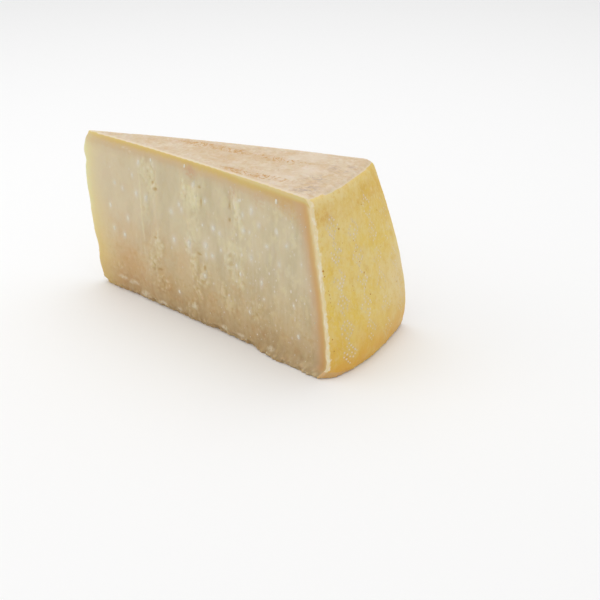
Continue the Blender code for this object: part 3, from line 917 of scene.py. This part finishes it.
def flat_side_look(tree, place):
    """Colour of the wheel's flat side."""
    split = add(tree, "ShaderNodeSeparateXYZ", {0: place})
    x_mm = calc("DIVIDE", calc("SUBTRACT", split.outputs["X"], TIP.x), MM)
    y_mm = calc("DIVIDE", calc("SUBTRACT", split.outputs["Y"], TIP.y), MM)
    colour = blend(cloudy(place, 0.38, 0.62, 85, 6, 0.75), FLAT_PINK, FLAT_CREAM)
    colour = lay_clouds(place, colour, FLAT_CLOUDS)
    strokes = stretched(place, (1.0, 0.55, 1))
    scribble = cloudy(strokes, 0.5, 0.58, 260, 3, 0.6, 2.2)
    patchy = cloudy(place, 0.3, 0.5, 80, 3)

    def stain(x, y, radius):
        aside = add(tree, "ShaderNodeCombineXYZ", {0: calc("SUBTRACT", x_mm, x)})
        tree.links.new(calc("SUBTRACT", y_mm, y), aside.inputs[1])
        away = add(tree, "ShaderNodeVectorMath", {0: aside.outputs[0]}, operation="LENGTH").outputs["Value"]
        return between(away, radius, radius * 0.2)

    for spot in OCHRE_STAINS:
        colour = lay(colour, FLAT_MARK, stain(*spot), 0.2)
    for spot in CREAM_STAINS:
        colour = lay(colour, FLAT_WHITE, stain(*spot), 0.5)
    for start, end, across, half_width in STROKE_BANDS:
        begun = between(x_mm, start, start + STROKE_FADE_MM)
        within = times(begun, between(x_mm, end, end - STROKE_FADE_MM))
        off = calc("ABSOLUTE", calc("SUBTRACT", y_mm, across))
        within = times(within, between(off, half_width + 1.5, half_width - 1.5))
        share = times(times(within, patchy), line(scribble, 0.9, 0.1))
        colour = blend(share, colour, FLAT_STROKE)
    smudge = cloudy(stretched(place, (0.6, 1, 1)), 0.47, 0.6, 260, 4, 0.7, 0.8)
    for spot in GREY_STAINS:
        colour = lay(colour, FLAT_GREY, times(stain(*spot), smudge), 0.8)
    # Painted highlight: a pale rim along the flat side's edges by the cut and the heel
    rim = calc("MINIMUM", mark(tree, "gap_cut"), mark(tree, "gap_heel"))
    return lay(colour, FLAT_EDGE_HIGHLIGHT, between(rim, 2.6, 0.4), 0.8)


SKIN_EDGE = (0.36, 0.64)  # the shares between which one side's look gives way to the next one's


def cheese_material():
    material = bpy.data.materials.new("aged_hard_cheese")
    material.use_nodes = True
    tree = material.node_tree
    shader = tree.nodes["Principled BSDF"]
    place = add(tree, "ShaderNodeTexCoord").outputs["Object"]
    paste = between(mark(tree, "paste"), *SKIN_EDGE)
    flat_side = between(mark(tree, "on_top"), *SKIN_EDGE)
    skin_colour = blend(flat_side, rind_look(tree, place), flat_side_look(tree, place))
    colour = blend(paste, skin_colour, paste_look(tree, place))
    tree.links.new(colour, shader.inputs["Base Color"])
    grain = clouds(place, 900, 4, 0.65)
    rind_grain = clouds(place, 500, 3, 0.55)
    rough = line(grain, 0.25, 0.42)
    tree.links.new(rough, shader.inputs["Roughness"])
    height = add(tree, "ShaderNodeMix", {0: paste, 2: rind_grain, 3: grain}).outputs[0]
    bump = add(tree, "ShaderNodeBump", {"Height": height, "Strength": 0.4, "Distance": 0.0004})
    tree.links.new(bump.outputs[0], shader.inputs["Normal"])
    shader.inputs["Subsurface Weight"].default_value = 0.35
    shader.inputs["Subsurface Radius"].default_value = (1.0, 0.62, 0.28)
    shader.inputs["Subsurface Scale"].default_value = 0.004
    shader.inputs["Specular IOR Level"].default_value = 0.35
    return material


wedge.data.materials.clear()
wedge.data.materials.append(cheese_material())
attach(wedge, "root")
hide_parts("cheese_wedge")

# Milk crystals: hard white grains that grow in the paste as it ages, 0.4 to 3 mm across, most of each one
# still buried, so that it shines through and whitens the paste round it. The largest of the front cut sit
# where they show best, and a rule scatters the others.
# The largest of the front cut: from the tip, height and width in mm
SHOWN_CRYSTALS = (
    (42, 79, 2.4),
    (20, 81, 1.9),
    (28, 79, 1.6),
    (13, 63, 2.0),
    (31, 58, 2.1),
    (15, 46, 2.2),
    (26, 44, 2.1),
    (76, 75, 2.7),
    (91.5, 56, 3.1),
    (77, 55, 2.4),
    (107, 60, 3.0),
    (114.5, 74, 2.6),
    (113, 54, 2.7),
    (107, 53, 2.0),
    (120, 72, 1.6),
    (79, 17, 2.4),
    (84, 82, 1.9),
    (86, 79, 1.6),
    (105, 37, 2.6),
    (148, 95, 2.5),
    (154, 87, 1.9),
    (98, 99, 2.3),
    (141, 80, 2.0),
    (134, 54, 1.6),
    (137, 49, 1.9),
    (160, 75, 1.9),
    (170, 66, 2.0),
    (157, 38, 1.8),
    (176, 80, 1.8),
)
CRYSTAL_CHALK = tint(228, 222, 206)
CRYSTAL_SHADE = tint(218, 209, 187)
SMALL_CRYSTAL_CHALK = tint(210, 199, 174)
SMALL_CRYSTAL_SHADE = tint(204, 191, 164)
POINTS_A_LUMP = 42  # of a ball with two rounds of facets
CRYSTAL_SUNK = 0.17  # how deep a crystal's middle lies, as a share of its width
CRYSTAL_THICKNESS = 0.6
CRYSTAL_UPRIGHT = 0.9
HALO_REACH = 0.75  # how far the whiter paste round a crystal reaches, as a share of its width


def group_tree(name, sockets):
    """A new tree with the named inputs. Returns it with its inputs' sockets by name."""
    tree = bpy.data.node_groups.new(name, "GeometryNodeTree")
    tree.interface.new_socket("Geometry", in_out="OUTPUT", socket_type="NodeSocketGeometry")
    for label, kind in (("Geometry", "Geometry"), *sockets):
        tree.interface.new_socket(label, in_out="INPUT", socket_type=f"NodeSocket{kind}")
    return tree, add(tree, "NodeGroupInput").outputs


def end_tree(tree, shape, finish):
    """Ends a tree with real, smooth faces in their material."""
    smooth = add(tree, "GeometryNodeSetShadeSmooth", {"Geometry": shape}).outputs[0]
    finished = add(tree, "GeometryNodeSetMaterial", {"Geometry": smooth, "Material": finish}).outputs[0]
    add(tree, "NodeGroupOutput", {0: finished})


def grown(name, placed, tree, values):
    """A piece that a tree grows from its inputs' values and from given points, as a plain mesh.
    Each of those is a place on the wedge, the way out of it there, and a width."""
    start = bpy.data.meshes.new(name)
    start.from_pydata([tuple(place) for place, _, _ in placed], [], [])
    ways_out = start.attributes.new("outward", "FLOAT_VECTOR", "POINT")
    ways_out.data.foreach_set("vector", [part for _, outward, _ in placed for part in outward])
    widths = start.attributes.new("size", "FLOAT", "POINT")
    widths.data.foreach_set("value", [wide for _, _, wide in placed])
    piece = bpy.data.objects.new(name, start)
    scene.collection.objects.link(piece)
    grower = piece.modifiers.new("grow", "NODES")
    grower.node_group = tree
    for item in tree.interface.items_tree:
        if item.in_out == "INPUT" and item.name in values:
            grower[item.identifier] = values[item.name]
    plain_mesh(piece)
    piece.data.name = name
    return piece


def lump_tree():
    """Small lumps part sunk in a surface: some at given points, the others scattered."""
    sockets = (
        ("Surface", "Object"),
        ("Share", "String"),
        ("Spacing", "Float"),
        ("Density", "Float"),
        ("Smallest", "Float"),
        ("Largest", "Float"),
        ("Upright", "Float"),
        ("Thickness", "Float"),
        ("Sunk", "Float"),
        ("Lumpy", "Float"),
        ("Lump scale", "Float"),
        ("Facets", "Int"),
        ("Seed", "Int"),
        ("Finish", "Material"),
    )
    tree, given = group_tree("lumps_in_a_surface", sockets)
    surface = add(tree, "GeometryNodeObjectInfo", {"Object": given["Surface"]}).outputs["Geometry"]
    share = add(tree, "GeometryNodeInputNamedAttribute", {"Name": given["Share"]}, data_type="FLOAT")
    places = {0: surface, "Distance Min": given["Spacing"], "Density Max": given["Density"]}
    places.update({"Density Factor": share.outputs["Attribute"], "Seed": given["Seed"]})
    points = add(tree, "GeometryNodeDistributePointsOnFaces", places, distribute_method="POISSON")
    dice = add(tree, "FunctionNodeRandomValue", {2: 0.0, 3: 1.0, "Seed": given["Seed"]}, data_type="FLOAT")
    rarely_big = calc("POWER", dice.outputs[1], 2.0)
    size_range = calc("SUBTRACT", given["Largest"], given["Smallest"])
    size = line(rarely_big, size_range, given["Smallest"])
    depth = times(times(size, given["Sunk"]), -1.0)
    places = {0: points.outputs["Normal"], "Scale": depth}
    inward = add(tree, "ShaderNodeVectorMath", places, operation="SCALE").outputs[0]
    sunk = add(tree, "GeometryNodeSetPosition", {"Geometry": points.outputs["Points"], "Offset": inward})
    places = {"Radius": 0.5, "Subdivisions": given["Facets"]}
    ball = add(tree, "GeometryNodeMeshIcoSphere", places).outputs[0]
    tall = line(given["Upright"], dice.outputs[1], 1.0)

    scale = add(tree, "ShaderNodeCombineXYZ", {0: size, 1: times(size, tall)})
    tree.links.new(times(size, given["Thickness"]), scale.inputs[2])
    places = {"Points": sunk.outputs[0], "Instance": ball, "Scale": scale.outputs[0]}
    places["Rotation"] = points.outputs["Rotation"]
    scattered = add(tree, "GeometryNodeInstanceOnPoints", places).outputs[0]

    own_size = add(tree, "GeometryNodeInputNamedAttribute", {"Name": "size"}, data_type="FLOAT").outputs[0]
    outward = add(tree, "GeometryNodeInputNamedAttribute", {"Name": "outward"}, data_type="FLOAT_VECTOR")
    facing = add(tree, "FunctionNodeAlignRotationToVector", {2: outward.outputs[0]}, axis="Z").outputs[0]
    scale = add(tree, "ShaderNodeCombineXYZ", {0: own_size, 1: times(own_size, tall)})
    tree.links.new(times(own_size, given["Thickness"]), scale.inputs[2])
    places = {"Points": given["Geometry"], "Instance": ball, "Rotation": facing, "Scale": scale.outputs[0]}
    by_hand = add(tree, "GeometryNodeInstanceOnPoints", places).outputs[0]

    both = add(tree, "GeometryNodeJoinGeometry", {0: scattered})
    tree.links.new(by_hand, both.inputs[0])
    real = add(tree, "GeometryNodeRealizeInstances", {"Geometry": both.outputs[0]}).outputs[0]
    bumps = add(tree, "ShaderNodeTexNoise", {"Scale": given["Lump scale"], "Detail": 1.0}).outputs["Color"]
    bumps = add(tree, "ShaderNodeVectorMath", {0: bumps, 1: (0.5,) * 3}, operation="SUBTRACT").outputs[0]
    bumps = add(tree, "ShaderNodeVectorMath", {0: bumps, "Scale": given["Lumpy"]}, operation="SCALE")
    shaped = add(tree, "GeometryNodeSetPosition", {"Geometry": real, "Offset": bumps.outputs[0]}).outputs[0]
    end_tree(tree, shaped, given["Finish"])
    return tree


def sunk_in_wedge(origin, way, wide, sunk):
    """Where a straight line meets the wedge, a little deeper, with the way out of it there and a width."""
    met, outward, _, _ = wedge_tree.ray_cast(origin, way)
    return met - outward * wide * sunk, outward, wide


def seen_crystal(along, up, wide):
    """A crystal of the front cut, where the camera's line through its listed place meets the real face."""
    listed = (TIP.x + along * MM * math.cos(CUT_TURN), TIP.y - along * MM * math.sin(CUT_TURN), up * MM)
    eye = Vector(CAMERA_PLACE)
    return sunk_in_wedge(eye, (Vector(listed) - eye).normalized(), wide * MM, CRYSTAL_SUNK)


def matt_material(name, colour, other, scale, rough, glow):
    """A dull material in two mixed tones that lets a little light in."""
    material = bpy.data.materials.new(name)
    material.use_nodes = True
    tree = material.node_tree
    shader = tree.nodes["Principled BSDF"]
    place = add(tree, "ShaderNodeTexCoord").outputs["Object"]
    tone = cloudy(place, 0.35, 0.65, scale, 3, 0.6)
    tree.links.new(blend(tone, colour, other), shader.inputs["Base Color"])
    grain = clouds(place, scale * 4, 2)
    tree.links.new(line(grain, 0.2, rough), shader.inputs["Roughness"])
    shader.inputs["Subsurface Weight"].default_value = glow
    shader.inputs["Subsurface Radius"].default_value = (1.0, 0.8, 0.6)
    shader.inputs["Subsurface Scale"].default_value = 0.001
    shader.inputs["Specular IOR Level"].default_value = 0.3
    return material


wedge_places = [vertex.co.copy() for vertex in wedge.data.vertices]
wedge_tree = BVHTree.FromPolygons(wedge_places, [tuple(face.vertices) for face in wedge.data.polygons])
shown_crystals = [seen_crystal(*listed) for listed in SHOWN_CRYSTALS]
lumps_in_a_surface = lump_tree()
large_crystals = {
    "Surface": wedge,
    "Share": "big_crystals",
    "Spacing": 9.0 * MM,
    "Density": 4000.0,
    "Smallest": 0.9 * MM,
    "Largest": 2.2 * MM,
    "Upright": CRYSTAL_UPRIGHT,
    "Thickness": CRYSTAL_THICKNESS,
    "Sunk": CRYSTAL_SUNK,
    "Lumpy": 0.25 * MM,
    "Lump scale": 900.0,
    "Facets": 2,
    "Seed": 11,
    "Finish": matt_material("milk_crystal", CRYSTAL_CHALK, CRYSTAL_SHADE, 300, 0.5, 0.4),
}
small_crystals = dict(large_crystals)
small_crystals.update({"Share": "small_crystals", "Spacing": 2.6 * MM, "Density": 40000.0, "Seed": 5})
small_crystals.update({"Smallest": 0.4 * MM, "Largest": 1.2 * MM, "Facets": 1, "Lumpy": 0.08 * MM})
small_crystals["Finish"] = matt_material(
    "small_milk_crystal", SMALL_CRYSTAL_CHALK, SMALL_CRYSTAL_SHADE, 300, 0.5, 0.4
)
large_piece = grown("large_crystals", shown_crystals, lumps_in_a_surface, large_crystals)
small_piece = grown("small_crystals", [], lumps_in_a_surface, small_crystals)
for piece in (large_piece, small_piece):
    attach(piece, "root")


def haze_round(lumps, reach):
    """For each of the wedge's points, how near it lies to one of the lumps, from 0 to 1."""
    nearness = np.zeros(len(skin))
    for lump in lumps:
        size = lump.max(axis=0) - lump.min(axis=0)
        aside = (skin - lump.mean(axis=0)) / (np.array((size[0], size[0], size[2])) * reach)
        nearness = np.maximum(nearness, np.exp(-(aside**2).sum(axis=1)))
    return nearness


store("halo", haze_round(read_points(large_piece.data).reshape(-1, POINTS_A_LUMP, 3), HALO_REACH))

# Crumbs: scraps of paste that broke off as the wedge was split. They cling to its foot and to the torn
# patches low down.
CRUMB_CREAM = tint(216, 202, 168)
CRUMB_TAN = tint(208, 190, 152)

crumb_values = dict(large_crystals)
crumb_values.update({"Share": "crumbled", "Spacing": 3.4 * MM, "Density": 40000.0, "Sunk": 0.3, "Seed": 23})
crumb_values.update({"Smallest": 0.8 * MM, "Largest": 2.4 * MM, "Upright": -0.3, "Thickness": 0.7})
crumb_values.update({"Lumpy": 0.7 * MM, "Lump scale": 800.0})
crumb_values["Finish"] = matt_material("crumb_of_paste", CRUMB_TAN, CRUMB_CREAM, 400, 0.6, 0.3)
crumbs = grown("crumbs", [], lumps_in_a_surface, crumb_values)
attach(crumbs, "root")

# Pin marks: the mould's studs leave upright columns of pale dots in the rind. Here they make plain dotted
# lozenges, which fade toward the back, where the rind is more worn.
PIN_COLUMNS_MM = (14, 33, 52, 71)  # along the heel's arc from its front corner
PIN_LOW_MM = 14
PIN_HIGH_MM = 96
PIN_PITCH_MM = 16
PIN_RINGS = ((4.9, 6.8, 4), (1.7, 2.4, 1))  # a lozenge's half width, half height and dots a side
PIN_WIDTH = 1.9 * MM
PIN_HAZE_REACH = 1.2
POINTS_A_PIN = 12  # of a ball with one round of facets
PIN_SUNK = 0.12
PINS_LOST = 0.16
HEEL_RADIUS_MM = 200
ROUND_THE_HEEL = 0.30  # a distance from the tip that is well outside the heel
PIN_CHALK = tint(232, 215, 190)
PIN_CREAM = tint(222, 200, 152)


def on_heel_rind(round_mm, up_mm, wide, sunk):
    """A spot on the rind, so far round the heel from its front corner and so high up."""
    turn = -CUT_TURN + round_mm / HEEL_RADIUS_MM
    way_out = Vector((math.cos(turn), math.sin(turn), 0))
    origin = Vector((*TIP, up_mm * MM)) + way_out * ROUND_THE_HEEL
    return sunk_in_wedge(origin, -way_out, wide, sunk)


def lozenge_dots():
    """Dots along the sides of one lozenge in another, in mm from their middle."""
    dots = []
    for half_width, half_height, dots_a_side in PIN_RINGS:
        corners = [(half_width, 0), (0, half_height), (-half_width, 0), (0, -half_height)]
        for start, end in zip(corners, corners[1:] + corners[:1]):
            for step in range(dots_a_side):
                share = step / dots_a_side
                dots.append(tuple(first + (last - first) * share for first, last in zip(start, end)))
    return dots


pin_draw = np.random.default_rng(7)
pins = []
for column, round_mm in enumerate(PIN_COLUMNS_MM):
    middle = PIN_LOW_MM + (column % 2) * PIN_PITCH_MM / 2
    while middle < PIN_HIGH_MM:
        for aside, above in lozenge_dots():
            lost, slip_round, slip_up, swell = pin_draw.random(4)
            if lost < PINS_LOST + 0.08 * column:
                continue
            wide = PIN_WIDTH * (1.05 - 0.12 * column) * (0.75 + 0.4 * swell)
            place = (round_mm + aside + slip_round * 0.6 - 0.3, middle + above + slip_up * 0.6 - 0.3)
            pins.append(on_heel_rind(*place, wide, PIN_SUNK))
        middle += PIN_PITCH_MM

pin_values = dict(large_crystals)
pin_values.update({"Density": 0.0, "Upright": 0.0, "Thickness": 0.45, "Lumpy": 0.1 * MM, "Facets": 1})
pin_values["Finish"] = matt_material("pin_mark", PIN_CHALK, PIN_CREAM, 120, 0.6, 0.3)
pin_marks = grown("pin_marks", pins, lumps_in_a_surface, pin_values)
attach(pin_marks, "root")
store("pin_haze", haze_round(read_points(pin_marks.data).reshape(-1, POINTS_A_PIN, 3), PIN_HAZE_REACH))

# Rind specks: flecks of dried brown crust that lie flat on the rind, where brushing the wheel left them.
# Most of them are close to the front edge of the heel.
# Each speck: round the heel from its front corner, height and width in mm
RIND_SPECKS = (
    (2.2, 71, 1.3),
    (2.6, 67.5, 0.9),
    (4.2, 58, 0.7),
    (4.6, 55.5, 0.8),
    (4.9, 53, 0.8),
    (4.7, 50.5, 0.7),
    (5.1, 48, 0.6),
    (20, 91, 1.3),
    (21, 82, 0.6),
    (31.5, 80, 0.7),
    (32, 73, 0.9),
    (33.5, 66, 0.8),
    (36, 58, 1.2),
    (35, 49, 0.7),
    (38.5, 43, 1.1),
    (24, 54, 0.8),
    (24.5, 51, 0.7),
    (3.4, 27, 1.0),
    (4.0, 19, 0.9),
    (12, 12, 0.8),
    (58, 66, 0.8),
    (69, 38, 0.9),
    (47, 97, 0.8),
    (63, 88, 0.9),
)
SPECK_BROWN = tint(194, 138, 58)
SPECK_TAN = tint(208, 158, 78)
SPECK_SUNK = 0.06
SPECK_GROWTH = 1.25

speck_values = dict(pin_values)
speck_values.update({"Thickness": 0.25, "Lumpy": 0.3 * MM, "Lump scale": 1500.0, "Facets": 2, "Seed": 31})
speck_values["Finish"] = matt_material("dried_crust", SPECK_BROWN, SPECK_TAN, 900, 0.6, 0.2)
specks = []
for round_mm, height, wide in RIND_SPECKS:
    specks.append(on_heel_rind(round_mm, height, wide * SPECK_GROWTH * MM, SPECK_SUNK))
rind_specks = grown("rind_specks", specks, lumps_in_a_surface, speck_values)
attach(rind_specks, "root")
